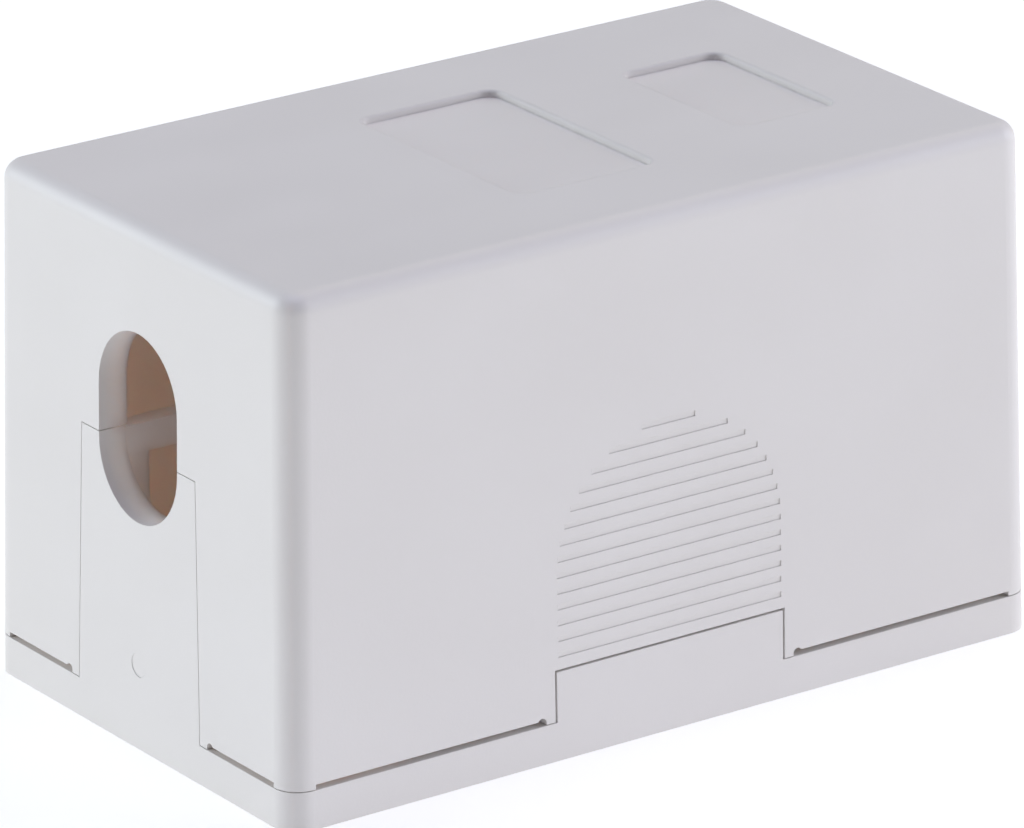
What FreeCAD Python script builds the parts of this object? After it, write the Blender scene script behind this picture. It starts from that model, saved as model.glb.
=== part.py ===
import FreeCAD, Part
import math
import os
import Sketcher

# Surface mount jack box, one port.  Millimetres, +Z up.  The origin is the centre of the
# underside.  +X points to the end with the data port, -X to the end where the cable enters.

doc = FreeCAD.newDocument("SurfaceJackBox")
sheet = doc.addObject("Spreadsheet::Sheet", "Dims")

DIMENSIONS = [
    # overall moulding
    ("box_len", 46.8), ("box_wid", 27.6), ("box_hgt", 28.0),
    ("end_draft", 0.6), ("side_draft", 0.4), ("corner_rad", 1.4), ("top_rad", 1.0),
    ("wall", 1.7), ("floor_top", 2.1), ("foot_gap", 0.05), ("shadow_gap", 0.3), ("foot_len", 1.5),
    ("relief_rad", 0.28),
    # label recesses in the lid
    ("label_len", 8.5), ("label_wid", 14.5), ("label_pos", -0.4),
    ("port_label_len", 6.3), ("port_label_wid", 10.6), ("port_label_pos", 13.7),
    ("label_depth", 0.4), ("label_rad", 0.8), ("label_edge", 0.15),
    # thumb grips on the long sides
    ("grip_low", 5.6), ("grip_mid", 10.0), ("grip_arc", 7.0), ("grip_pitch", 0.85),
    ("grip_groove", 0.3), ("grip_depth", 0.05),
    # side tabs and end tongue of the base
    ("tab_half", 7.1), ("tab_top", 4.83), ("notch_clear", 0.12), ("foot_run", 0.95),
    ("tongue_half", 5.6), ("tongue_tip_half", 5.2), ("tongue_top", 16.1), ("tongue_thick", 1.9),
    ("tongue_clear", 0.05),
    ("hole_rad", 3.6), ("hole_low", 15.9), ("hole_high", 18.8),
    ("dimple_rad", 0.65), ("dimple_pos", 4.6), ("dimple_depth", 0.12),
    # locating rim and cable channel
    ("rim_clear", 0.3), ("rim_thick", 1.3), ("rim_top", 5.4),
    ("chan_half", 3.6), ("chan_thick", 1.1), ("chan_top", 16.0), ("chan_end", 12.8),
    ("tie_start", 3.3), ("tie_len", 5.0), ("tie_low", 7.4), ("tie_high", 14.4),
    # upright frame that holds the jack
    ("frame_half", 9.4), ("frame_top", 24.8), ("frame_back", 13.4), ("lip_thick", 1.6),
    ("port_half", 7.45), ("port_low", 5.2), ("port_high", 21.6),
    ("seat_low", 3.6), ("seat_high", 23.2),
    # screw holes and the recess of the adhesive pad
    ("screw_pos", 17.0), ("screw_rad", 1.8), ("head_rad", 3.45), ("head_seat", 1.3),
    ("pad_len", 25.0), ("pad_wid", 19.0), ("pad_recess", 0.9), ("pad_clear", 0.4),
    ("pad_rad", 1.5), ("liner_thick", 0.12), ("liner_low", 0.03),
    # jack housing
    ("jack_half", 7.25), ("jack_low", 5.35), ("jack_high", 21.45), ("jack_face", 22.9),
    ("board_front", 10.1), ("board_back", 8.5),
    ("plug_half", 5.95), ("plug_low", 10.9), ("plug_high", 17.8),
    ("key_half", 3.1), ("key_low", 9.4), ("nib_half", 1.7), ("nib_low", 8.2),
    ("comb_depth", 0.9), ("comb_half", 0.34), ("comb_start", 12.9), ("comb_end", 21.2),
    ("latch_half", 3.6), ("latch_low", 22.0), ("latch_high", 22.75), ("hook_top", 23.1),
    ("catch_root", 18.0), ("catch_ramp", 20.0), ("catch_face", 21.65), ("board_edge", 0.25),
    # contacts
    ("sled_front", 12.4), ("sled_half", 5.75), ("sled_gap", 0.15),
    ("root_high", 16.6), ("root_rad", 0.3), ("root_clear", 0.12),
    ("spring_pitch", 1.016), ("spring_wid", 0.46), ("spring_thick", 0.3),
    ("dip_pos", 15.8), ("dip_high", 15.4), ("tip_pos", 19.6), ("tip_high", 16.4),
    ("dip_rad", 1.2),
    # wire terminals
    ("tower_back", -2.5), ("slot_half", 0.65), ("slot_floor", 5.5), ("row_depth", 5.6),
    ("flare_half", 1.1), ("flare_len", 0.9),
    ("well_half", 4.3), ("well_low", 11.9), ("well_high", 14.9), ("well_floor", 3.0),
    ("blade_half", 1.35), ("blade_thick", 0.4), ("blade_slit", 0.17), ("blade_room", 0.1),
    ("blade_low", 8.3), ("blade_high", 18.1), ("blade_tip", -1.4), ("slit_end", 5.0),
    ("blade_inner", 1.85), ("blade_outer", 5.35), ("tail_half", 0.6), ("tail_len", 1.2),
    ("mouth_half", 0.75), ("mouth_len", 1.2),
    ("cap_front", -2.8), ("cap_back", -5.4), ("cap_half", 8.6), ("skirt_thick", 1.0),
    ("skirt_end", 3.0), ("skirt_low", 8.4), ("skirt_high", 18.4), ("cap_hole", 3.1),
    ("fin_half", 0.35), ("fin_end", -1.65), ("fin_gap", 0.3),
]

for row, (alias, number) in enumerate(DIMENSIONS, start=1):
    sheet.set("A%d" % row, alias)
    sheet.set("B%d" % row, str(number))
    sheet.setAlias("B%d" % row, alias)
doc.recompute()


def value(alias):
    """Number that the sheet holds for a named dimension."""
    return float(sheet.get(alias))


def make_body(label):
    body = doc.addObject("PartDesign::Body", label)
    body.Label = label
    return body


def origin_plane(body, role):
    for feature in body.Origin.OriginFeatures:
        if feature.Role == role:
            return feature
    raise ValueError(role)


def make_sketch(body, name, role, offset=None, tilt=0.0):
    """Sketch on one of the body's own origin planes, moved along its normal."""
    sketch = body.newObject("Sketcher::SketchObject", name)
    sketch.AttachmentSupport = [(origin_plane(body, role), "")]
    sketch.MapMode = "FlatFace"
    if tilt:
        turn = FreeCAD.Rotation(FreeCAD.Vector(1, 0, 0), tilt)
        sketch.AttachmentOffset = FreeCAD.Placement(FreeCAD.Vector(), turn)
    if offset is not None:
        sketch.setExpression(".AttachmentOffset.Base.z", offset)
    return sketch


def place_point(sketch, line, end, axis, text):
    """Hold one coordinate of a point at an expression, or on the axis when it is zero."""
    if text == "0":
        sketch.addConstraint(Sketcher.Constraint("PointOnObject", line, end, -2 if axis == "X" else -1))
        return
    index = sketch.addConstraint(Sketcher.Constraint("Distance" + axis, -1, 1, line, end, 1.0))
    sketch.setExpression("Constraints[%d]" % index, text)


def polygon(sketch, points):
    """Closed outline whose corners are pairs of expressions."""
    count = len(points)
    ring = []
    for step in range(count):
        angle = 2.0 * math.pi * step / count
        ring.append(FreeCAD.Vector(10 * math.cos(angle), 10 * math.sin(angle), 0))
    lines = []
    for step in range(count):
        segment = Part.LineSegment(ring[step], ring[(step + 1) % count])
        lines.append(sketch.addGeometry(segment, False))
    for step in range(count):
        follower = lines[(step + 1) % count]
        sketch.addConstraint(Sketcher.Constraint("Coincident", lines[step], 2, follower, 1))
    for line, (across, along) in zip(lines, points):
        place_point(sketch, line, 1, "X", across)
        place_point(sketch, line, 1, "Y", along)
    return lines


def rectangle(sketch, left, right, low, high):
    return polygon(sketch, [(left, low), (right, low), (right, high), (left, high)])


def centred(sketch, half_across, half_along):
    across = "(%s)" % half_across
    along = "(%s)" % half_along
    return rectangle(sketch, "-" + across, across, "-" + along, along)


def circle(sketch, across, along, radius):
    geometry = Part.Circle(FreeCAD.Vector(1, 1, 0), FreeCAD.Vector(0, 0, 1), 2.0)
    index = sketch.addGeometry(geometry, False)
    place_point(sketch, index, 3, "X", across)
    place_point(sketch, index, 3, "Y", along)
    size = sketch.addConstraint(Sketcher.Constraint("Radius", index, 2.0))
    sketch.setExpression("Constraints[%d]" % size, radius)
    return index


def pad(body, sketch, length, both_ways=False, reverse=False):
    feature = body.newObject("PartDesign::Pad", sketch.Name + "Pad")
    feature.Profile = sketch
    feature.setExpression("Length", length)
    feature.Midplane = both_ways
    feature.Reversed = reverse
    return feature


def pocket(body, sketch, length=None, both_ways=False, reverse=False):
    feature = body.newObject("PartDesign::Pocket", sketch.Name + "Cut")
    feature.Profile = sketch
    feature.Midplane = both_ways
    feature.Reversed = reverse
    if length is None:
        feature.Type = "ThroughAll"
    else:
        feature.setExpression("Length", length)
    return feature


def loft(body, name, low_sketch, high_sketch, cut=False):
    kind = "PartDesign::SubtractiveLoft" if cut else "PartDesign::AdditiveLoft"
    feature = body.newObject(kind, name)
    feature.Profile = low_sketch
    feature.Sections = [high_sketch]
    feature.Ruled = True
    return feature


def edges_where(feature, test):
    """Names of the edges of a feature's shape whose ends both meet a test."""
    names = []
    for number, edge in enumerate(feature.Shape.Edges, start=1):
        ends = [vertex.Point for vertex in edge.Vertexes]
        if len(ends) == 2 and test(ends[0], ends[1]):
            names.append("Edge%d" % number)
    return names


def round_edges(body, name, feature, test, radius):
    doc.recompute()
    fillet = body.newObject("PartDesign::Fillet", name)
    fillet.Base = (feature, edges_where(feature, test))
    fillet.setExpression("Radius", radius)
    doc.recompute()
    return fillet


def draft_faces(body, name, feature, axis, angle):
    """Lean the faces square to one axis inwards, about the plane of the underside."""
    doc.recompute()
    faces = []
    for number, face in enumerate(feature.Shape.Faces, start=1):
        if abs(abs(face.normalAt(0, 0)[axis]) - 1) < 0.001:
            faces.append("Face%d" % number)
    lean = body.newObject("PartDesign::Draft", name)
    lean.Base = (feature, faces)
    lean.NeutralPlane = (origin_plane(body, "XY_Plane"), [""])
    lean.PullDirection = (origin_plane(body, "Z_Axis"), [""])
    lean.setExpression("Angle", angle)
    doc.recompute()
    return lean


# Half sizes of the drafted outside at a height, as expressions.
def half_length(height):
    return "(Dims.box_len / 2 - Dims.end_draft * (%s) / Dims.box_hgt)" % height


def half_width(height):
    return "(Dims.box_wid / 2 - Dims.side_draft * (%s) / Dims.box_hgt)" % height


def near(first, second, room=0.05):
    return abs(first - second) < room


def upright(first, second):
    """An edge that climbs at a corner of the drafted outside."""
    rise = abs(first.z - second.z)
    run = math.hypot(first.x - second.x, first.y - second.y)
    return rise > 1.5 and run < 0.2 * rise


# ---------------------------------------------------------------- cover
cover = make_body("cover")
COVER_LOW = "(Dims.floor_top + Dims.foot_gap)"
LID_IN = "(Dims.box_hgt - Dims.wall)"

outer = make_sketch(cover, "CoverOutline", "XY_Plane")
centred(outer, "Dims.box_len / 2", "Dims.box_wid / 2")
shell = pad(cover, outer, "Dims.box_hgt")
shell = draft_faces(cover, "CoverEndDraft", shell, 0, "atan(Dims.end_draft / Dims.box_hgt)")
shell = draft_faces(cover, "CoverSideDraft", shell, 1, "atan(Dims.side_draft / Dims.box_hgt)")
shell = round_edges(cover, "CoverCorners", shell, upright, "Dims.corner_rad")


def on_lid(first, second):
    lid = value("box_hgt")
    return near(first.z, lid) and near(second.z, lid)


shell = round_edges(cover, "CoverRim", shell, on_lid, "Dims.top_rad")

below = make_sketch(cover, "CoverLowEdge", "XY_Plane", COVER_LOW)
centred(below, "Dims.box_len", "Dims.box_wid")
pocket(cover, below)
inner_low = make_sketch(cover, "CoverInnerLow", "XY_Plane", COVER_LOW)
centred(inner_low, half_length(COVER_LOW) + " - Dims.wall", half_width(COVER_LOW) + " - Dims.wall")
inner_high = make_sketch(cover, "CoverInnerHigh", "XY_Plane", LID_IN)
centred(inner_high, half_length(LID_IN) + " - Dims.wall", half_width(LID_IN) + " - Dims.wall")
hollow = loft(cover, "CoverHollow", inner_low, inner_high, cut=True)
doc.recompute()

# Notches in the long walls for the tabs of the base.
notch = make_sketch(cover, "TabNotch", "XZ_Plane")
rectangle(notch, "-(Dims.tab_half + Dims.notch_clear)", "Dims.tab_half + Dims.notch_clear",
          "0", "Dims.tab_top + Dims.notch_clear")
pocket(cover, notch, both_ways=True)

# Slot over the tongue at the cable end, and the arch of the cable hole above it.
slot = make_sketch(cover, "TongueSlot", "YZ_Plane")
polygon(slot, [
    ("-(Dims.tongue_half + Dims.tongue_clear)", "Dims.floor_top"),
    ("-(Dims.tongue_half + Dims.tongue_clear)", "0"),
    ("Dims.tongue_half + Dims.tongue_clear", "0"),
    ("Dims.tongue_half + Dims.tongue_clear", "Dims.floor_top"),
    ("Dims.tongue_tip_half + Dims.tongue_clear", "Dims.tongue_top + Dims.tongue_clear"),
    ("-(Dims.tongue_tip_half + Dims.tongue_clear)", "Dims.tongue_top + Dims.tongue_clear"),
])
pocket(cover, slot)
arch = make_sketch(cover, "CableArch", "YZ_Plane")
circle(arch, "0", "Dims.hole_high", "Dims.hole_rad")
pocket(cover, arch)
jamb = make_sketch(cover, "CableJamb", "YZ_Plane")
rectangle(jamb, "-Dims.hole_rad", "Dims.hole_rad", "Dims.hole_low", "Dims.hole_high")
pocket(cover, jamb)

# Slot at the port end that drops over the jack's frame.
port = make_sketch(cover, "FrameSlot", "YZ_Plane")
rectangle(port, "-(Dims.frame_half + Dims.notch_clear)", "Dims.frame_half + Dims.notch_clear",
          "0", "Dims.frame_top + Dims.notch_clear")
pocket(cover, port, reverse=True)

# Shadow gap along the lower edge.  It stops short of corners and notches, which leaves feet.
GAP_HIGH = "Dims.floor_top + Dims.shadow_gap"
RELIEF_POS = "Dims.floor_top + Dims.shadow_gap - Dims.relief_rad / 2"
side_gap = make_sketch(cover, "SideGap", "XZ_Plane")
for sign in ("-", ""):
    inside = "%s(Dims.tab_half + Dims.foot_run)" % sign
    outside = "%s(Dims.box_len / 2 - Dims.foot_len - 0.1)" % sign
    rectangle(side_gap, inside, outside, "Dims.floor_top", GAP_HIGH)
pocket(cover, side_gap, both_ways=True)
end_gap = make_sketch(cover, "CableEndGap", "YZ_Plane")
for sign in ("-", ""):
    inside = "%s(Dims.tongue_half + Dims.foot_run)" % sign
    outside = "%s(Dims.box_wid / 2 - Dims.foot_len)" % sign
    rectangle(end_gap, inside, outside, "Dims.floor_top", GAP_HIGH)
pocket(cover, end_gap)
port_gap = make_sketch(cover, "PortEndGap", "YZ_Plane")
for sign in ("-", ""):
    inside = "%s(Dims.frame_half + Dims.foot_run)" % sign
    outside = "%s(Dims.box_wid / 2 - Dims.foot_len)" % sign
    rectangle(port_gap, inside, outside, "Dims.floor_top", GAP_HIGH)
gap_cut = pocket(cover, port_gap, reverse=True)

# Small round reliefs where the gap ends beside the tabs and the tongue.
side_relief = make_sketch(cover, "SideRelief", "XZ_Plane")
end_relief = make_sketch(cover, "EndRelief", "YZ_Plane")
for sign in ("-", ""):
    circle(side_relief, "%s(Dims.tab_half + Dims.foot_run)" % sign, RELIEF_POS, "Dims.relief_rad")
    circle(end_relief, "%s(Dims.tongue_half + Dims.foot_run)" % sign, RELIEF_POS, "Dims.relief_rad")
pocket(cover, side_relief, both_ways=True)
pocket(cover, end_relief)
doc.recompute()

# Two shallow recesses in the lid, for a room label and a port label.
label = make_sketch(cover, "RoomLabel", "XY_Plane", "Dims.box_hgt")
rectangle(label, "Dims.label_pos - Dims.label_len / 2", "Dims.label_pos + Dims.label_len / 2",
          "-Dims.label_wid / 2", "Dims.label_wid / 2")
pocket(cover, label, "Dims.label_depth")
port_label = make_sketch(cover, "PortLabel", "XY_Plane", "Dims.box_hgt")
rectangle(port_label, "Dims.port_label_pos - Dims.port_label_len / 2",
          "Dims.port_label_pos + Dims.port_label_len / 2",
          "-Dims.port_label_wid / 2", "Dims.port_label_wid / 2")
labels = pocket(cover, port_label, "Dims.label_depth")


def recess_corner(first, second):
    lid = value("box_hgt")
    deep = value("label_depth")
    climbs = near(abs(first.z - second.z), deep) and near(max(first.z, second.z), lid)
    return climbs and near(first.x, second.x)


labels = round_edges(cover, "RecessCorners", labels, recess_corner, "Dims.label_rad")


def recess_edge(first, second):
    """An edge of a recess at the lid's face."""
    lid = value("box_hgt")
    level = near(first.z, lid) and near(second.z, lid)
    reach = value("box_wid") / 2 - value("top_rad") - 1
    ends = value("box_len") / 2 - value("top_rad") - 1
    return level and abs(first.y) < reach and abs(first.x) < ends


labels = round_edges(cover, "RecessEdges", labels, recess_edge, "Dims.label_edge")

# Thumb grip: level grooves under a round arch, on a plane that follows the draft of the wall.
lean = -math.degrees(math.atan(value("side_draft") / value("box_hgt")))
grip = make_sketch(cover, "GripGrooves", "XZ_Plane", "Dims.box_wid / 2", tilt=lean)
crown = value("grip_mid") + value("grip_arc")
rows = 1 + int((crown - value("grip_low") - value("grip_groove")) / value("grip_pitch"))
for row in range(rows):
    low = "Dims.grip_low + %d * Dims.grip_pitch" % row
    rise = "(%s + Dims.grip_groove / 2 - Dims.grip_mid)" % low
    reach = "sqrt(Dims.grip_arc ^ 2 - max(%s; 0) ^ 2)" % rise
    rectangle(grip, "-" + reach, reach, low, low + " + Dims.grip_groove")
grooves = pocket(cover, grip, "Dims.grip_depth")
doc.recompute()
far_side = cover.newObject("PartDesign::Mirrored", "GripMirrored")
far_side.Originals = [grooves]
far_side.MirrorPlane = (origin_plane(cover, "XZ_Plane"), [""])
cover.Tip = far_side
doc.recompute()


# ---------------------------------------------------------------- base
base = make_body("base")
RIM_HALF_LENGTH = "(%s - Dims.wall - Dims.rim_clear)" % half_length("Dims.rim_top")
RIM_HALF_WIDTH = "(%s - Dims.wall - Dims.rim_clear)" % half_width("Dims.rim_top")
TONGUE_BACK = "-Dims.box_len / 2 + Dims.tongue_thick"
CHAN_OUT = "(Dims.chan_half + Dims.chan_thick)"

# The whole drafted block up to the frame's top: everything flush with the cover comes from it.
plinth = make_sketch(base, "BaseOutline", "XY_Plane")
centred(plinth, "Dims.box_len / 2", "Dims.box_wid / 2")
block = pad(base, plinth, "Dims.frame_top")
block = draft_faces(base, "BaseEndDraft", block, 0, "atan(Dims.end_draft / Dims.box_hgt)")
block = draft_faces(base, "BaseSideDraft", block, 1, "atan(Dims.side_draft / Dims.box_hgt)")
block = round_edges(base, "BaseCorners", block, upright, "Dims.corner_rad")

# Seen from the side: the tongue and channel at the cable end, the frame at the port end,
# and the low rim and tabs between them.
over = make_sketch(base, "AboveRim", "XZ_Plane")
polygon(over, [
    ("-Dims.box_len", "Dims.tongue_top"),
    (TONGUE_BACK, "Dims.tongue_top"),
    (TONGUE_BACK, "Dims.chan_top"),
    ("-Dims.chan_end", "Dims.chan_top"),
    ("-Dims.chan_end", "Dims.rim_top"),
    ("Dims.frame_back", "Dims.rim_top"),
    ("Dims.frame_back", "2 * Dims.box_hgt"),
    ("-Dims.box_len", "2 * Dims.box_hgt"),
])
pocket(base, over, both_ways=True)

# Seen from above: trim to the tongue, the channel walls, the frame, the rim and the tabs.
tongue_sides = make_sketch(base, "BesideTongue", "XY_Plane", "Dims.rim_top")
for sign in ("-", ""):
    polygon(tongue_sides, [
        ("-Dims.box_len", "%sDims.tongue_half" % sign),
        (TONGUE_BACK, "%sDims.tongue_half" % sign),
        (TONGUE_BACK, sign + CHAN_OUT),
        ("-Dims.chan_end + 1", sign + CHAN_OUT),
        ("-Dims.chan_end + 1", "%sDims.box_wid" % sign),
        ("-Dims.box_len", "%sDims.box_wid" % sign),
    ])
pocket(base, tongue_sides, reverse=True)
frame_sides = make_sketch(base, "BesideFrame", "XY_Plane", "Dims.rim_top")
for sign in ("-", ""):
    rectangle(frame_sides, "Dims.frame_back - 1", "Dims.box_len",
              "%sDims.frame_half" % sign, "%sDims.box_wid" % sign)
pocket(base, frame_sides, reverse=True)

# Step round the rim where the cover's walls stand; tabs, tongue and frame stay full size.
long_step = make_sketch(base, "LongStep", "XY_Plane", "Dims.floor_top")
for side in ("-", ""):
    for end in ("-", ""):
        rectangle(long_step, "%sDims.tab_half" % end, "%sDims.box_len" % end,
                  "%s%s" % (side, RIM_HALF_WIDTH), "%sDims.box_wid" % side)
pocket(base, long_step, reverse=True)
cable_step = make_sketch(base, "CableEndStep", "XY_Plane", "Dims.floor_top")
port_step = make_sketch(base, "PortEndStep", "XY_Plane", "Dims.floor_top")
for side in ("-", ""):
    rectangle(cable_step, "-Dims.box_len", "-" + RIM_HALF_LENGTH,
              "%sDims.tongue_half" % side, "%sDims.box_wid" % side)
    rectangle(port_step, RIM_HALF_LENGTH, "Dims.box_len",
              "%sDims.frame_half" % side, "%sDims.box_wid" % side)
pocket(base, cable_step, reverse=True)
pocket(base, port_step, reverse=True)
doc.recompute()

# Tabs stop at their own height, a little under the rim behind them.
tab_head = make_sketch(base, "TabHead", "XY_Plane", "Dims.tab_top")
for side in ("-", ""):
    rectangle(tab_head, "-Dims.tab_half", "Dims.tab_half",
              "%s%s" % (side, RIM_HALF_WIDTH), "%sDims.box_wid" % side)
pocket(base, tab_head, reverse=True)

# The tongue narrows slightly towards its top.
taper = make_sketch(base, "TongueTaper", "YZ_Plane", TONGUE_BACK)
for side in ("-", ""):
    polygon(taper, [
        ("%sDims.tongue_half" % side, "Dims.floor_top"),
        ("%sDims.tongue_tip_half" % side, "Dims.tongue_top"),
        ("%sDims.box_wid" % side, "Dims.tongue_top"),
        ("%sDims.box_wid" % side, "Dims.floor_top"),
    ])
pocket(base, taper)

# Room inside the rim, outside the channel and behind the frame.
RIM_IN_LENGTH = "(%s - Dims.rim_thick)" % RIM_HALF_LENGTH
RIM_IN_WIDTH = "(%s - Dims.rim_thick)" % RIM_HALF_WIDTH
room = make_sketch(base, "InnerRoom", "XY_Plane", "Dims.floor_top")
polygon(room, [
    ("-" + RIM_IN_LENGTH, "-" + RIM_IN_WIDTH),
    ("Dims.frame_back", "-" + RIM_IN_WIDTH),
    ("Dims.frame_back", RIM_IN_WIDTH),
    ("-" + RIM_IN_LENGTH, RIM_IN_WIDTH),
    ("-" + RIM_IN_LENGTH, CHAN_OUT),
    ("-Dims.chan_end", CHAN_OUT),
    ("-Dims.chan_end", "-" + CHAN_OUT),
    ("-" + RIM_IN_LENGTH, "-" + CHAN_OUT),
])
pocket(base, room, reverse=True)
pockets_beside = make_sketch(base, "RoomBesideFrame", "XY_Plane", "Dims.floor_top")
for side in ("-", ""):
    rectangle(pockets_beside, "Dims.frame_back - 0.5", RIM_IN_LENGTH,
              "%sDims.frame_half" % side, "%s%s" % (side, RIM_IN_WIDTH))
pocket(base, pockets_beside, reverse=True)

# Cable channel, open at its inner end, and the round-bottomed cable notch in the tongue.
channel = make_sketch(base, "CableChannel", "XY_Plane", "Dims.floor_top")
rectangle(channel, TONGUE_BACK, "-Dims.chan_end + 1",
          "-Dims.chan_half", "Dims.chan_half")
pocket(base, channel, reverse=True)
cradle = make_sketch(base, "CableNotch", "YZ_Plane")
circle(cradle, "0", "Dims.hole_low", "Dims.hole_rad")
pocket(base, cradle)
doc.recompute()

# Windows in the channel walls for a cable tie.
windows = make_sketch(base, "TieWindows", "XZ_Plane")
rectangle(windows, "-Dims.box_len / 2 + Dims.tie_start",
          "-Dims.box_len / 2 + Dims.tie_start + Dims.tie_len", "Dims.tie_low", "Dims.tie_high")
pocket(base, windows, both_ways=True)

# Gate mark low on the tongue.
gate = make_sketch(base, "GateMark", "YZ_Plane", "-Dims.box_len / 2")
circle(gate, "0", "Dims.dimple_pos", "Dims.dimple_rad")
pocket(base, gate, "Dims.dimple_depth", reverse=True)

# Frame for the jack: a port in the front lip and a taller seat behind it.
port_hole = make_sketch(base, "PortOpening", "YZ_Plane", "Dims.frame_back - 1")
rectangle(port_hole, "-Dims.port_half", "Dims.port_half", "Dims.port_low", "Dims.port_high")
pocket(base, port_hole, reverse=True)
seat = make_sketch(base, "JackSeat", "YZ_Plane", "Dims.frame_back - 1")
rectangle(seat, "-Dims.port_half", "Dims.port_half", "Dims.seat_low", "Dims.seat_high")
pocket(base, seat, "Dims.box_len / 2 - Dims.lip_thick - Dims.frame_back + 1", reverse=True)

# Two screw holes with room for the heads, and the recess under the floor for the pad.
screws = make_sketch(base, "ScrewHoles", "XY_Plane", "Dims.seat_low")
heads = make_sketch(base, "ScrewHeads", "XY_Plane", "Dims.seat_low")
for sign in ("-", ""):
    circle(screws, "%sDims.screw_pos" % sign, "0", "Dims.screw_rad")
    circle(heads, "%sDims.screw_pos" % sign, "0", "Dims.head_rad")
pocket(base, screws)
pocket(base, heads, "Dims.seat_low - Dims.head_seat")
under = make_sketch(base, "PadRecess", "XY_Plane")
centred(under, "(Dims.pad_len / 2 + Dims.pad_clear)", "(Dims.pad_wid / 2 + Dims.pad_clear)")
recess = pocket(base, under, "Dims.pad_recess", reverse=True)
base.Tip = recess
doc.recompute()


# ---------------------------------------------------------------- adhesive pad and its liner
def flat_piece(label, low, thick):
    """Rounded rectangle of foam or film in the recess under the floor."""
    body = make_body(label)
    outline = make_sketch(body, label + "_outline", "XY_Plane", low)
    centred(outline, "Dims.pad_len / 2", "Dims.pad_wid / 2")
    slab = pad(body, outline, thick)
    round_edges(body, label + "_corners", slab,
                lambda first, second: near(first.x, second.x) and near(first.y, second.y),
                "Dims.pad_rad")
    return body


LINER_HIGH = "Dims.liner_low + Dims.liner_thick"
adhesive_pad = flat_piece("adhesive_pad", LINER_HIGH, "Dims.pad_recess - (%s)" % LINER_HIGH)
release_liner = flat_piece("release_liner", "Dims.liner_low", "Dims.liner_thick")

# ---------------------------------------------------------------- jack housing
jack = make_body("jack_housing")
side_view = make_sketch(jack, "JackSide", "XZ_Plane")
polygon(side_view, [
    ("Dims.board_front", "Dims.jack_low"),
    ("Dims.catch_root", "Dims.jack_low"),
    ("Dims.catch_ramp", "Dims.seat_low"),
    ("Dims.catch_face", "Dims.seat_low"),
    ("Dims.catch_face", "Dims.jack_low"),
    ("Dims.jack_face", "Dims.jack_low"),
    ("Dims.jack_face", "Dims.jack_high"),
    ("Dims.board_front", "Dims.jack_high"),
])
pad(jack, side_view, "2 * Dims.jack_half", both_ways=True)
latch = make_sketch(jack, "JackLatch", "XZ_Plane")
polygon(latch, [
    ("Dims.board_front", "Dims.jack_high"),
    ("Dims.board_front + 1.5", "Dims.jack_high"),
    ("Dims.board_front + 2.1", "Dims.latch_low"),
    ("Dims.catch_face", "Dims.latch_low"),
    ("Dims.catch_face", "Dims.hook_top"),
    ("Dims.catch_face - 0.9", "Dims.hook_top"),
    ("Dims.catch_face - 2.4", "Dims.latch_high"),
    ("Dims.board_front + 1.3", "Dims.latch_high"),
    ("Dims.board_front", "Dims.latch_low - 0.1"),
])
pad(jack, latch, "2 * Dims.latch_half", both_ways=True)
plug_way = make_sketch(jack, "PlugOpening", "YZ_Plane")
PLUG_OUTLINE = [
    ("Dims.plug_half", "Dims.plug_high"), ("Dims.plug_half", "Dims.plug_low"),
    ("Dims.key_half", "Dims.plug_low"), ("Dims.key_half", "Dims.key_low"),
    ("Dims.nib_half", "Dims.key_low"), ("Dims.nib_half", "Dims.nib_low"),
]
mirrored_outline = [("-" + across, along) for across, along in reversed(PLUG_OUTLINE)]
polygon(plug_way, PLUG_OUTLINE + mirrored_outline)
pocket(jack, plug_way, reverse=True)

# Comb in the roof of the opening: one groove for each contact to bend up into.
comb = make_sketch(jack, "CombGroove", "XY_Plane", "Dims.plug_high + Dims.comb_depth")
rectangle(comb, "Dims.comb_start", "Dims.comb_end",
          "-3.5 * Dims.spring_pitch - Dims.comb_half", "-3.5 * Dims.spring_pitch + Dims.comb_half")
first_groove = pocket(jack, comb, "Dims.comb_depth + Dims.sled_gap")
doc.recompute()
comb_row = jack.newObject("PartDesign::LinearPattern", "Comb")
comb_row.Originals = [first_groove]
comb_row.Direction = (origin_plane(jack, "Y_Axis"), [""])
comb_row.Occurrences = 8
comb_row.setExpression("Length", "7 * Dims.spring_pitch")
jack.Tip = comb_row
doc.recompute()

# ---------------------------------------------------------------- contact carrier and contacts
sled = make_body("contact_carrier")
sled_side = make_sketch(sled, "CarrierSide", "XZ_Plane")
rectangle(sled_side, "Dims.board_front", "Dims.sled_front",
          "Dims.plug_low + Dims.sled_gap", "Dims.plug_high - Dims.sled_gap")
pad(sled, sled_side, "2 * Dims.sled_half", both_ways=True)
groove = make_sketch(sled, "RootGroove", "XZ_Plane")
circle(groove, "Dims.sled_front", "Dims.root_high", "Dims.root_rad + Dims.root_clear")
sled.Tip = pocket(sled, groove, both_ways=True)
doc.recompute()


def at_dip(first, second):
    """The crosswise edges of a contact where its strip turns up again."""
    return near(first.x, value("dip_pos")) and near(second.x, value("dip_pos"))


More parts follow.
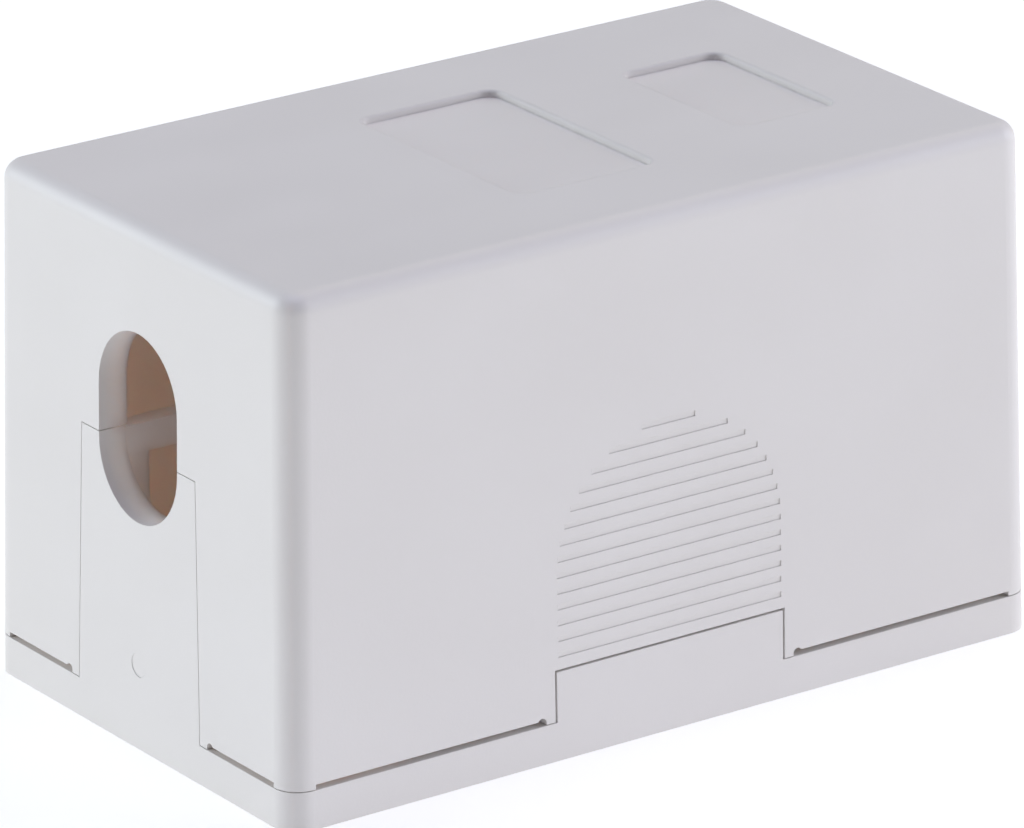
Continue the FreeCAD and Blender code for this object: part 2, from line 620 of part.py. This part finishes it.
for number in range(1, 9):
    spring = make_body("contact_spring_%d" % number)
    root = make_sketch(spring, "SpringRoot%d" % number, "XZ_Plane")
    circle(root, "Dims.sled_front", "Dims.root_high", "Dims.root_rad")
    pad(spring, root, "Dims.spring_wid", both_ways=True)
    blade = make_sketch(spring, "SpringBlade%d" % number, "XZ_Plane")
    polygon(blade, [
        ("Dims.sled_front", "Dims.root_high - Dims.spring_thick / 2"),
        ("Dims.dip_pos", "Dims.dip_high - Dims.spring_thick / 2"),
        ("Dims.tip_pos", "Dims.tip_high - Dims.spring_thick / 2"),
        ("Dims.tip_pos", "Dims.tip_high + Dims.spring_thick / 2"),
        ("Dims.dip_pos", "Dims.dip_high + Dims.spring_thick / 2"),
        ("Dims.sled_front", "Dims.root_high + Dims.spring_thick / 2"),
    ])
    strip = pad(spring, blade, "Dims.spring_wid", both_ways=True)
    spring.Tip = round_edges(spring, "SpringBend%d" % number, strip, at_dip, "Dims.dip_rad")
    spring.setExpression(".Placement.Base.y", "%s * Dims.spring_pitch" % (number - 4.5))
doc.recompute()

# ---------------------------------------------------------------- circuit board
board = make_body("circuit_board")
board_face = make_sketch(board, "BoardFace", "YZ_Plane", "Dims.board_back")
rectangle(board_face, "-(Dims.jack_half - Dims.board_edge)", "Dims.jack_half - Dims.board_edge",
          "Dims.jack_low + Dims.board_edge", "Dims.jack_high - Dims.board_edge")
board.Tip = pad(board, board_face, "Dims.board_front - Dims.board_back")
doc.recompute()

# ---------------------------------------------------------------- wire terminal block
COLUMNS = ["-Dims.blade_outer", "-Dims.blade_inner", "Dims.blade_inner", "Dims.blade_outer"]
towers = make_body("idc_block")
tower_face = make_sketch(towers, "BlockFace", "YZ_Plane", "Dims.tower_back")
rectangle(tower_face, "-Dims.jack_half", "Dims.jack_half", "Dims.jack_low", "Dims.jack_high")
pad(towers, tower_face, "Dims.board_back - Dims.tower_back")


# One side of a wire's slot, from its flared mouth between the tower tips to its floor.
SLOT_SIDE = [
    ("Dims.tower_back - 1", "Dims.flare_half"), ("Dims.tower_back", "Dims.flare_half"),
    ("Dims.tower_back + Dims.flare_len", "Dims.slot_half"), ("Dims.slot_floor", "Dims.slot_half"),
]


def wire_slots(name, level, upward):
    """Row of four slots cut down from the top, or up from the underside, of the block."""
    slots = make_sketch(towers, name, "XY_Plane", level)
    for column in COLUMNS:
        one_side = [(along, "%s + %s" % (column, half)) for along, half in SLOT_SIDE]
        other_side = [(along, "%s - %s" % (column, half)) for along, half in reversed(SLOT_SIDE)]
        polygon(slots, one_side + other_side)
    pocket(towers, slots, "Dims.row_depth", reverse=upward)


wire_slots("UpperSlots", "Dims.jack_high", False)
wire_slots("LowerSlots", "Dims.jack_low", True)
blade_ways = make_sketch(towers, "BladeSlots", "YZ_Plane")
for level in ("Dims.blade_low", "Dims.blade_high"):
    for column in COLUMNS:
        rectangle(blade_ways,
                  "%s - Dims.blade_half - Dims.blade_room" % column,
                  "%s + Dims.blade_half + Dims.blade_room" % column,
                  "%s - Dims.blade_thick / 2 - Dims.blade_room" % level,
                  "%s + Dims.blade_thick / 2 + Dims.blade_room" % level)
pocket(towers, blade_ways, both_ways=True)
well = make_sketch(towers, "WireWell", "YZ_Plane", "Dims.well_floor")
rectangle(well, "-Dims.well_half", "Dims.well_half", "Dims.well_low", "Dims.well_high")
towers.Tip = pocket(towers, well)
doc.recompute()

# Forked terminal blades, two rows of four, that cut through a wire's insulation.
BLADE_SIDE = [
    ("Dims.slit_end", "Dims.blade_slit"), ("Dims.blade_tip + Dims.mouth_len", "Dims.blade_slit"),
    ("Dims.blade_tip", "Dims.mouth_half"), ("Dims.blade_tip", "Dims.blade_half"),
    ("Dims.board_back - Dims.tail_len", "Dims.blade_half"),
    ("Dims.board_back - Dims.tail_len", "Dims.tail_half"), ("Dims.board_back", "Dims.tail_half"),
]
OTHER_SIDE = [(along, "-" + across) for along, across in reversed(BLADE_SIDE)]
number = 0
for level in ("Dims.blade_high", "Dims.blade_low"):
    for column in COLUMNS:
        number += 1
        fork = make_body("idc_blade_%d" % number)
        outline = make_sketch(fork, "BladeOutline%d" % number, "XY_Plane")
        polygon(outline, BLADE_SIDE + OTHER_SIDE)
        fork.Tip = pad(fork, outline, "Dims.blade_thick", both_ways=True)
        fork.setExpression(".Placement.Base.y", column)
        fork.setExpression(".Placement.Base.z", level)
doc.recompute()

# ---------------------------------------------------------------- wire cap
cap = make_body("wire_cap")
cap_face = make_sketch(cap, "CapFace", "YZ_Plane", "Dims.cap_back")
rectangle(cap_face, "-Dims.cap_half", "Dims.cap_half", "Dims.jack_low", "Dims.jack_high")
pad(cap, cap_face, "Dims.cap_front - Dims.cap_back")
skirt = make_sketch(cap, "CapSkirts", "YZ_Plane", "Dims.cap_back")
for side in ("-", ""):
    rectangle(skirt, "%s(Dims.cap_half - Dims.skirt_thick)" % side, "%sDims.cap_half" % side,
              "Dims.skirt_low", "Dims.skirt_high")
pad(cap, skirt, "Dims.skirt_end - Dims.cap_back")
fins = make_sketch(cap, "CapFins", "YZ_Plane", "Dims.cap_front - 0.1")
for column in COLUMNS:
    for low, high in (
        ("Dims.jack_low + Dims.fin_gap", "Dims.jack_low + Dims.row_depth - Dims.fin_gap"),
        ("Dims.jack_high - Dims.row_depth + Dims.fin_gap", "Dims.jack_high - Dims.fin_gap"),
    ):
        rectangle(fins, "%s - Dims.fin_half" % column, "%s + Dims.fin_half" % column, low, high)
pad(cap, fins, "Dims.fin_end - Dims.cap_front + 0.1")
cable_way = make_sketch(cap, "CapCableHole", "YZ_Plane")
circle(cable_way, "0", "(Dims.jack_low + Dims.jack_high) / 2", "Dims.cap_hole")
cap.Tip = pocket(cap, cable_way)
doc.recompute()

# ---------------------------------------------------------------- checks and export
for item in doc.Objects:
    if "Invalid" in item.State or "Error" in item.State:
        raise RuntimeError("%s did not recompute: %s" % (item.Name, item.State))
    if item.TypeId in ("PartDesign::Pocket", "PartDesign::SubtractiveLoft"):
        if item.BaseFeature.Shape.Volume - item.Shape.Volume < 0.01:
            raise RuntimeError("%s cuts nothing" % item.Name)

os.makedirs("parts", exist_ok=True)
for item in doc.Objects:
    if item.TypeId != "PartDesign::Body":
        continue
    shape = item.Shape
    if shape.isNull() or not shape.isValid() or len(shape.Solids) != 1:
        raise RuntimeError("%s is not one sound solid" % item.Label)
    shape.exportStep(os.path.join("parts", item.Label + ".step"))
    print("%-18s volume %9.1f mm3" % (item.Label, shape.Volume))
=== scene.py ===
import math

import bmesh
import bpy
from mathutils import Matrix, Vector
from mathutils import noise as field


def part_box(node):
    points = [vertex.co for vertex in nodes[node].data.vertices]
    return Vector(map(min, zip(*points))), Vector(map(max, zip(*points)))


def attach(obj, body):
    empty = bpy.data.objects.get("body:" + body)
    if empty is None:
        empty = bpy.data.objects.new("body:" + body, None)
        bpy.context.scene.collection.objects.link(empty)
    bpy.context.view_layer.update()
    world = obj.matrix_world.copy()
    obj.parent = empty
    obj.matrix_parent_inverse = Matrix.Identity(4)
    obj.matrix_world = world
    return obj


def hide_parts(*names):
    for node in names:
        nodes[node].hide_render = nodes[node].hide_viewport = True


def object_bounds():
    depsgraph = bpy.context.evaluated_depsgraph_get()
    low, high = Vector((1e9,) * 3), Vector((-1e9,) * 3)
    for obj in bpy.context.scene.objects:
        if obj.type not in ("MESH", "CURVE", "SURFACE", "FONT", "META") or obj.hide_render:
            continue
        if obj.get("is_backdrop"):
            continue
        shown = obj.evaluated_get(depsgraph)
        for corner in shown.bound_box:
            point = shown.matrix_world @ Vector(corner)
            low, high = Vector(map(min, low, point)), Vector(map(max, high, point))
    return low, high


# Looks of the surface mount jack box: materials on the CAD solids, soft parts, studio.

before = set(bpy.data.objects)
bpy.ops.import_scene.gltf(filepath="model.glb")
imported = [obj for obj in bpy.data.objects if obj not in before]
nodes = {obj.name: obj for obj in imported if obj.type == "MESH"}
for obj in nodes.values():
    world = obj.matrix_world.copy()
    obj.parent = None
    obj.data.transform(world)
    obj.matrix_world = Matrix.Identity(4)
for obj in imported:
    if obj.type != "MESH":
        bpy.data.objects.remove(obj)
scene = bpy.context.scene

cad_low, cad_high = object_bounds()
CENTRE = (cad_low + cad_high) / 2
MM = 0.001
END_SLOPE, SIDE_SLOPE = 0.0214, 0.0143  # how far the drafted walls lean in, per unit of height


# ---------------------------------------------------------------- shader nodes
def feed(tree, socket, given):
    """Links another node's output to a socket, or sets the socket to a number or colour."""
    if isinstance(given, bpy.types.NodeSocket):
        tree.links.new(given, socket)
    else:
        socket.default_value = given


def add(tree, kind, settings=None, **inputs):
    """Adds a shader node.  An input takes a number, a colour or another node's output."""
    made = tree.nodes.new("ShaderNode" + kind)
    for key, setting in (settings or {}).items():
        setattr(made, key, setting)
    for key, given in inputs.items():
        feed(tree, made.inputs[key.replace("_", " ")], given)
    return made


def start(name):
    """New material with an empty tree, and the object's own coordinates in metres."""
    material = bpy.data.materials.new(name)
    material.use_nodes = True
    tree = material.node_tree
    tree.nodes.clear()
    coords = add(tree, "TexCoord").outputs["Object"]
    return material, tree, coords


def grain(tree, coords, size, detail=2.0, roughness=0.5, stretch=None):
    """Noise whose features are about size metres across, stretched along an axis if asked."""
    if stretch is not None:
        coords = add(tree, "Mapping", Vector=coords, Scale=stretch).outputs["Vector"]
    made = add(tree, "TexNoise", Vector=coords, Scale=1.0 / size, Detail=detail,
               Roughness=roughness)
    return made.outputs["Fac"]


def spread(tree, value, low, high, to_low, to_high):
    """Maps a value's range onto another, held at its ends."""
    made = add(tree, "MapRange", {"clamp": True}, Value=value)
    for key, number in (("From Min", low), ("From Max", high), ("To Min", to_low),
                        ("To Max", to_high)):
        made.inputs[key].default_value = number
    return made.outputs["Result"]


def blend(tree, factor, first, second, mode="MIX"):
    """Mixes two colours."""
    made = add(tree, "Mix", {"data_type": "RGBA", "blend_type": mode})
    for number, given in ((0, factor), (6, first), (7, second)):
        feed(tree, made.inputs[number], given)
    return made.outputs[2]


def maths(tree, operation, first, second=0.0):
    """One sum on numbers or sockets."""
    made = add(tree, "Math", {"operation": operation})
    for socket, given in zip(made.inputs, (first, second)):
        feed(tree, socket, given)
    return made.outputs[0]


def rgb(red, green, blue):
    return (red, green, blue, 1.0)


def close(tree, **inputs):
    """Principled shader into the material's output."""
    shader = add(tree, "BsdfPrincipled", **inputs)
    output = add(tree, "OutputMaterial")
    tree.links.new(shader.outputs[0], output.inputs["Surface"])
    return shader


# ---------------------------------------------------------------- materials
def below_skin(tree, coords):
    """How far a spot lies under the drafted outside of the box, in millimetres."""
    place = add(tree, "SeparateXYZ", Vector=coords).outputs
    half = (cad_high - cad_low) / 2
    across = maths(tree, "ADD", maths(tree, "ABSOLUTE", place["X"]),
                   maths(tree, "MULTIPLY", place["Z"], END_SLOPE))
    along = maths(tree, "ADD", maths(tree, "ABSOLUTE", place["Y"]),
                  maths(tree, "MULTIPLY", place["Z"], SIDE_SLOPE))
    depth = maths(tree, "MINIMUM", maths(tree, "SUBTRACT", half.x, across),
                  maths(tree, "SUBTRACT", half.y, along))
    depth = maths(tree, "MINIMUM", depth, maths(tree, "SUBTRACT", cad_high.z, place["Z"]))
    return maths(tree, "DIVIDE", depth, MM)


def moulded_plastic(name, colour, shade, rough, pits, depth, glow, reach, edge, lid_edge=None,
                    inside=None):
    """Injection moulded plastic: faint clouding, spark-eroded grain and softened edges.

    pits and depth are in metres; reach, edge and lid_edge are in millimetres.  lid_edge is the
    softening near the lid.  inside holds a painted tint, the light's reach and a painted glow
    (an emission) that stand in for light through the walls, below the outside of the box.
    """
    material, tree, coords = start(name)
    cloud = grain(tree, coords, 11 * MM, 2.0)
    flow = grain(tree, coords, 5 * MM, 1.0, stretch=(0.35, 1.0, 1.0))
    body = blend(tree, spread(tree, cloud, 0.35, 0.65, 0.0, 1.0), rgb(*colour), rgb(*shade))
    eroded = grain(tree, coords, pits, 1.5, 0.6)
    ripple = grain(tree, coords, 3.2 * MM, 1.0)
    height = maths(tree, "ADD", maths(tree, "MULTIPLY", eroded, 0.55),
                   maths(tree, "MULTIPLY", ripple, 0.9))
    radius = edge * MM
    if lid_edge is not None:
        place_z = add(tree, "SeparateXYZ", Vector=coords).outputs["Z"]
        radius = spread(tree, place_z, cad_high.z - 3 * MM, cad_high.z - 2 * MM,
                        radius, lid_edge * MM)
    rounded = add(tree, "Bevel", {"samples": 2}, Radius=radius).outputs["Normal"]
    bump = add(tree, "Bump", Strength=0.35, Distance=depth, Height=height, Normal=rounded)
    gloss = spread(tree, maths(tree, "ADD", eroded, flow), 0.7, 1.3, rough - 0.05, rough + 0.06)
    shader = close(tree, Base_Color=body, Roughness=gloss, Normal=bump.outputs["Normal"])
    shader.inputs["IOR"].default_value = 1.53
    shader.inputs["Specular IOR Level"].default_value = 0.42
    shader.inputs["Subsurface Weight"].default_value = glow
    shader.inputs["Subsurface Radius"].default_value = (1.0, 0.80, 0.70)
    shader.inputs["Subsurface Scale"].default_value = reach * MM
    if inside is not None:
        under = spread(tree, below_skin(tree, coords), 0.3, 1.3, 0.0, 1.0)
        # Painted tint: below the outside skin the colour is multiplied by inside's tint, warmer in
        # the cover and brighter in the base, standing in for light through the walls.
        tint = blend(tree, under, rgb(1.0, 1.0, 1.0), rgb(*inside["tint"]))
        tree.links.new(blend(tree, 1.0, body, tint, "MULTIPLY"), shader.inputs["Base Color"])
        tree.links.new(spread(tree, under, 0.0, 1.0, reach * MM, inside["reach"] * MM),
                       shader.inputs["Subsurface Scale"])
        tree.links.new(spread(tree, under, 0.0, 1.0, glow, 1.0),
                       shader.inputs["Subsurface Weight"])
        # Painted light: a faint warm emission on the inner walls near the cable end, fading out
        # between -18 and -15 mm, stands in for light through the walls.
        cable_end = spread(tree, add(tree, "SeparateXYZ", Vector=coords).outputs["X"],
                           -18 * MM, -15 * MM, 1.0, 0.0)
        painted_inner_light = blend(tree, maths(tree, "MULTIPLY", under, cable_end), rgb(0.0, 0.0, 0.0),
                     rgb(*inside["painted_inner_light"]))
        tree.links.new(painted_inner_light, shader.inputs["Emission Color"])
        shader.inputs["Emission Strength"].default_value = 1.0
        material.cycles.emission_sampling = "NONE"
    return material


def plated_metal(name, colour, dark, rough, along):
    """Plated strip: fine drawing lines along the strip and slight tarnish."""
    material, tree, coords = start(name)
    lines = grain(tree, coords, 0.05 * MM, 2.0, stretch=along)
    tarnish = grain(tree, coords, 0.9 * MM, 3.0)
    body = blend(tree, spread(tree, tarnish, 0.42, 0.7, 0.0, 1.0), rgb(*colour), rgb(*dark))
    bump = add(tree, "Bump", Strength=0.3, Distance=0.003 * MM, Height=lines)
    gloss = spread(tree, lines, 0.3, 0.7, rough - 0.06, rough + 0.1)
    shader = close(tree, Base_Color=body, Roughness=gloss, Normal=bump.outputs["Normal"])
    shader.inputs["Metallic"].default_value = 1.0
    return material


def circuit_laminate(name):
    """Green solder resist on the faces, and cut glass laminate with its layers on the edges."""
    material, tree, coords = start(name)
    facing = add(tree, "NewGeometry").outputs["True Normal"]
    side = maths(tree, "ABSOLUTE", add(tree, "SeparateXYZ", Vector=facing).outputs["X"])
    layers = add(tree, "TexWave", {"bands_direction": "X"}, Vector=coords, Scale=1600.0,
                 Distortion=1.5, Detail=2.0).outputs["Fac"]
    fibres = grain(tree, coords, 0.12 * MM, 3.0, stretch=(3.0, 1.0, 1.0))
    cut = blend(tree, layers, rgb(0.28, 0.30, 0.12), rgb(0.55, 0.52, 0.26))
    cut = blend(tree, spread(tree, fibres, 0.35, 0.7, 0.0, 0.5), cut, rgb(0.62, 0.60, 0.40))
    cloud = grain(tree, coords, 2 * MM, 2.0)
    resist = blend(tree, cloud, rgb(0.008, 0.10, 0.035), rgb(0.016, 0.17, 0.06))
    body = blend(tree, spread(tree, side, 0.4, 0.6, 0.0, 1.0), cut, resist)
    bump = add(tree, "Bump", Strength=0.4, Distance=0.01 * MM, Height=fibres)
    gloss = spread(tree, side, 0.4, 0.6, 0.7, 0.28)
    close(tree, Base_Color=body, Roughness=gloss, Normal=bump.outputs["Normal"])
    return material


def closed_foam(name):
    """White closed-cell foam with small round cells and a faint skin."""
    material, tree, coords = start(name)
    cells = add(tree, "TexVoronoi", {"feature": "SMOOTH_F1"}, Vector=coords, Scale=4200.0,
                Randomness=1.0)
    large = add(tree, "TexVoronoi", {"feature": "F1"}, Vector=coords, Scale=1500.0, Randomness=1.0)
    height = maths(tree, "ADD", cells.outputs["Distance"],
                   maths(tree, "MULTIPLY", large.outputs["Distance"], 0.6))
    cloud = grain(tree, coords, 4 * MM, 3.0)
    body = blend(tree, cloud, rgb(0.78, 0.77, 0.72), rgb(0.86, 0.85, 0.81))
    # Painted shade: the colour darkens where the bump dips, in the cell hollows.
    body = blend(tree, spread(tree, height, 0.1, 0.5, 0.35, 0.0), body, rgb(0.52, 0.50, 0.45))
    bump = add(tree, "Bump", Strength=0.8, Distance=0.06 * MM, Height=height)
    shader = close(tree, Base_Color=body, Roughness=spread(tree, cloud, 0.3, 0.7, 0.8, 0.95),
                   Normal=bump.outputs["Normal"])
    shader.inputs["Subsurface Weight"].default_value = 0.3
    shader.inputs["Subsurface Radius"].default_value = (1.0, 0.8, 0.6)
    shader.inputs["Subsurface Scale"].default_value = 0.5 * MM
    return material


def waxed_paper(name):
    """Cream release paper: fibres, a faint crinkle and a waxy gloss."""
    material, tree, coords = start(name)
    fibres = grain(tree, coords, 0.35 * MM, 4.0, 0.65, stretch=(1.0, 2.6, 1.0))
    crinkle = add(tree, "TexVoronoi", {"feature": "DISTANCE_TO_EDGE"}, Vector=coords, Scale=260.0)
    body = blend(tree, spread(tree, fibres, 0.35, 0.65, 0.0, 1.0), rgb(0.80, 0.73, 0.55),
                 rgb(0.88, 0.83, 0.68))
    height = maths(tree, "ADD", fibres,
                   spread(tree, crinkle.outputs["Distance"], 0.0, 0.1, 0.0, 1.2))
    bump = add(tree, "Bump", Strength=0.4, Distance=0.03 * MM, Height=height)
    close(tree, Base_Color=body, Roughness=spread(tree, fibres, 0.3, 0.7, 0.3, 0.45),
          Normal=bump.outputs["Normal"])
    return material


SHELL = {"colour": (0.860, 0.832, 0.805), "shade": (0.845, 0.816, 0.788), "rough": 0.42,
         "pits": 0.16 * MM, "depth": 0.020 * MM, "glow": 0.0, "reach": 1.2, "edge": 0.04}
# Colour of the painted glow (emission) on the inner walls near the cable end.
PAINTED_INNER_LIGHT = (0.052, 0.035, 0.028)
# The inside tints and the painted glow are painted light on the inner surfaces, standing in for
# light through the walls.
cover_plastic = moulded_plastic(
    "cover_plastic", **SHELL, lid_edge=0.30,
    inside={"tint": (1.0, 0.95, 0.945), "reach": 2.9, "painted_inner_light": PAINTED_INNER_LIGHT})
base_plastic = moulded_plastic(
    "base_plastic", **SHELL, inside={"tint": (1.08, 1.06, 1.04), "reach": 6.0, "painted_inner_light": PAINTED_INNER_LIGHT})
jack_plastic = moulded_plastic(
    "jack_plastic", (0.86, 0.84, 0.80), (0.83, 0.81, 0.77), rough=0.36,
    pits=0.10 * MM, depth=0.012 * MM, glow=0.2, reach=1.5, edge=0.08)
carrier_plastic = moulded_plastic(
    "carrier_plastic", (0.022, 0.022, 0.024), (0.030, 0.030, 0.032), rough=0.45,
    pits=0.09 * MM, depth=0.015 * MM, glow=0.0, reach=1.0, edge=0.06)
cap_plastic = moulded_plastic(
    "cap_plastic", (0.80, 0.80, 0.79), (0.77, 0.77, 0.76), rough=0.33,
    pits=0.12 * MM, depth=0.010 * MM, glow=0.25, reach=1.5, edge=0.08)
contact_gold = plated_metal(
    "contact_gold", (0.95, 0.70, 0.30), (0.72, 0.46, 0.16), rough=0.24, along=(0.04, 1.0, 1.0))
blade_tin = plated_metal(
    "blade_tin", (0.74, 0.73, 0.70), (0.52, 0.51, 0.49), rough=0.34, along=(0.05, 1.0, 1.0))
laminate = circuit_laminate("circuit_laminate")
foam = closed_foam("closed_foam")
paper = waxed_paper("waxed_paper")

FINISHES = {
    "cover": cover_plastic, "base": base_plastic, "jack_housing": jack_plastic,
    "contact_carrier": carrier_plastic, "circuit_board": laminate, "idc_block": jack_plastic,
    "wire_cap": cap_plastic, "adhesive_pad": foam, "release_liner": paper,
    "contact_spring": contact_gold, "idc_blade": blade_tin,
}


def dress(thing, material):
    """Gives every face of an object one material."""
    thing.data.materials.clear()
    thing.data.materials.append(material)


for name, thing in nodes.items():
    dress(thing, FINISHES[name.rstrip("_12345678")])


# ---------------------------------------------------------------- soft parts under the floor
RING_SHARES = (1.0, 0.985, 0.95, 0.88, 0.78, 0.66, 0.53, 0.40, 0.27, 0.14)
WAVE_LENGTH = 3.5 * MM


def rounded_outline(half_long, half_wide, radius, steps):
    """Points round a rectangle with round corners, in order."""
    points = []
    for quarter in range(4):
        angle = math.pi / 2 * quarter
        middle = Vector((math.copysign(half_long - radius, math.cos(angle + math.pi / 4)),
                         math.copysign(half_wide - radius, math.sin(angle + math.pi / 4))))
        for step in range(steps + 1):
            turn = angle + math.pi / 2 * step / steps
            points.append(middle + Vector((math.cos(turn), math.sin(turn))) * radius)
    dense = []
    for first, second in zip(points, points[1:] + points[:1]):
        parts = max(1, round((second - first).length / (0.9 * MM)))
        for part in range(parts):
            dense.append(first.lerp(second, part / parts))
    return dense


def die_cut_slab(name, low, high, radius, levels, sink, wobble, seed):
    """Thin slab cut from a sheet: its edge sinks by sink halfway up, its faces dent by wobble."""
    middle = (low + high) / 2
    half = (high - low) / 2
    outline = rounded_outline(half.x, half.y, radius, 7)
    mesh = bmesh.new()

    def ring(share, height, inset):
        made = []
        for point in outline:
            spot = Vector((point.x, point.y)) * share
            spot -= spot.normalized() * inset
            dent = abs(field.noise(Vector((spot.x, spot.y, seed)) / WAVE_LENGTH) * wobble)
            up = half.z * (2 * height - 1)
            if height == 0.0:
                up += dent
            elif height == 1.0:
                up -= dent
            made.append(mesh.verts.new((middle.x + spot.x, middle.y + spot.y, middle.z + up)))
        return made

    def bridge(first, second):
        count = len(first)
        for index in range(count):
            follow = (index + 1) % count
            mesh.faces.new((first[index], first[follow], second[follow], second[index]))

    def lid(height):
        rings = [ring(share, height, 0.0) for share in RING_SHARES[1:]]
        for first, second in zip(rings, rings[1:]):
            bridge(first, second)
        hub = mesh.verts.new((middle.x, middle.y, middle.z + half.z * (2 * height - 1)))
        last = rings[-1]
        for index in range(len(last)):
            mesh.faces.new((last[index], last[(index + 1) % len(last)], hub))
        return rings[0]

    walls = []
    for level in range(levels + 1):
        height = 0.06 + 0.88 * level / levels
        walls.append(ring(RING_SHARES[0], height, sink * math.sin(math.pi * height)))
    for first, second in zip(walls, walls[1:]):
        bridge(first, second)
    bridge(lid(0.0), walls[0])
    bridge(walls[-1], lid(1.0))
    bmesh.ops.recalc_face_normals(mesh, faces=mesh.faces)
    data = bpy.data.meshes.new(name)
    mesh.to_mesh(data)
    mesh.free()
    made = bpy.data.objects.new(name, data)
    scene.collection.objects.link(made)
    for face in data.polygons:
        face.use_smooth = True
    return made


low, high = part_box("adhesive_pad")
pad = die_cut_slab("foam_pad", low, high, 1.5 * MM, 5, 0.12 * MM, 0.04 * MM, 1.7)
dress(pad, foam)
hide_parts("adhesive_pad")
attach(pad, "base_unit")

low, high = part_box("release_liner")
film = die_cut_slab("release_film", low, high, 1.5 * MM, 2, 0.0, 0.02 * MM, 4.2)
dress(film, paper)
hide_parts("release_liner")
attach(film, "base_unit")


# ---------------------------------------------------------------- studio
def direction(azimuth, elevation):
    """Unit vector towards an azimuth and elevation in degrees; azimuth 0 is on the -Y side."""
    turn, rise = math.radians(azimuth), math.radians(elevation)
    return Vector((math.sin(turn) * math.cos(rise), -math.cos(turn) * math.cos(rise),
                   math.sin(rise)))


LIGHT_DISTANCE, LIGHT_SIDE = 0.70, 0.42


def softbox(name, azimuth, elevation, side, strength):
    """Square area light aimed at the object's middle.  Strength is its red, green, blue power."""
    lamp = bpy.data.lights.new(name, "AREA")
    lamp.size = side
    lamp.energy = max(strength)
    lamp.color = [part / max(strength) for part in strength]
    made = bpy.data.objects.new(name, lamp)
    scene.collection.objects.link(made)
    towards = direction(azimuth, elevation)
    made.location = CENTRE + towards * LIGHT_DISTANCE
    made.rotation_mode = "QUATERNION"
    made.rotation_quaternion = towards.to_track_quat("Z", "Y")


softbox("key_left", -135, 20, LIGHT_SIDE, (2.22, 2.43, 2.54))
softbox("key_right", 60, 20, LIGHT_SIDE, (2.16, 2.21, 2.47))
softbox("back_high", 120, 50, LIGHT_SIDE, (0.70, 0.66, 0.45))
softbox("overhead", -35, 86, LIGHT_SIDE, (1.66, 1.69, 2.15))

world = bpy.data.worlds.new("studio")
scene.world = world
world.use_nodes = True
backdrop = world.node_tree.nodes["Background"]
outward = add(world.node_tree, "TexCoord").outputs["Generated"]
climb = add(world.node_tree, "SeparateXYZ", Vector=outward)
haze = spread(world.node_tree, climb.outputs["Z"], 0.03, 0.14, 1.0, 0.05)
world.node_tree.links.new(haze, backdrop.inputs["Color"])
backdrop.inputs["Strength"].default_value = 0.5
world.cycles.sampling_method = "NONE"


def studio_floor(reach, glow):
    """Wide pale floor with a very faint mottle, bright as a lit white table."""
    data = bpy.data.meshes.new("studio_floor")
    mesh = bmesh.new()
    bmesh.ops.create_grid(mesh, x_segments=24, y_segments=24, size=reach)
    mesh.to_mesh(data)
    mesh.free()
    made = bpy.data.objects.new("studio_floor", data)
    scene.collection.objects.link(made)
    made.location.z = cad_low.z - 0.02 * MM
    material, tree, coords = start("floor_paper")
    mottle = grain(tree, coords, 30 * MM, 1.0)
    body = blend(tree, mottle, rgb(0.86, 0.86, 0.86), rgb(0.89, 0.89, 0.89))
    shader = close(tree, Base_Color=body, Roughness=spread(tree, mottle, 0.3, 0.7, 0.85, 0.95))
    shader.inputs["Emission Color"].default_value = rgb(1.0, 1.0, 1.0)
    shader.inputs["Emission Strength"].default_value = glow
    shader.inputs["Specular IOR Level"].default_value = 0.1
    dress(made, material)
    made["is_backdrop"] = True


studio_floor(2.0, 0.42)

# Camera fitted to the box's edges in the photograph: degrees, and millimetres.
VIEW_AZIMUTH, VIEW_ELEVATION, VIEW_ROLL = -34.980, 20.718, -0.448
VIEW_DISTANCE, AIM_LEFT, AIM_DOWN = 456.576, 0.101, 0.954

lens = bpy.data.cameras.new("studio_camera")
camera = bpy.data.objects.new("studio_camera", lens)
scene.collection.objects.link(camera)
lens.sensor_width = 36.0
lens.lens = 310.87
lens.clip_start, lens.clip_end = 0.01, 20.0
back = direction(VIEW_AZIMUTH, VIEW_ELEVATION)
level = Vector((0, 0, 1)).cross(back).normalized()
upward = back.cross(level)
roll = math.radians(VIEW_ROLL)
right = level * math.cos(roll) + upward * math.sin(roll)
above = upward * math.cos(roll) - level * math.sin(roll)
aim = CENTRE - right * AIM_LEFT * MM - above * AIM_DOWN * MM
turn = Matrix((right, above, back)).transposed()
camera.matrix_world = Matrix.Translation(aim + back * VIEW_DISTANCE * MM) @ turn.to_4x4()
scene.camera = camera

scene.cycles.max_bounces = 8
scene.cycles.diffuse_bounces = 4
scene.view_settings.view_transform = "Standard"
scene.view_settings.look = "None"

low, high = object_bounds()
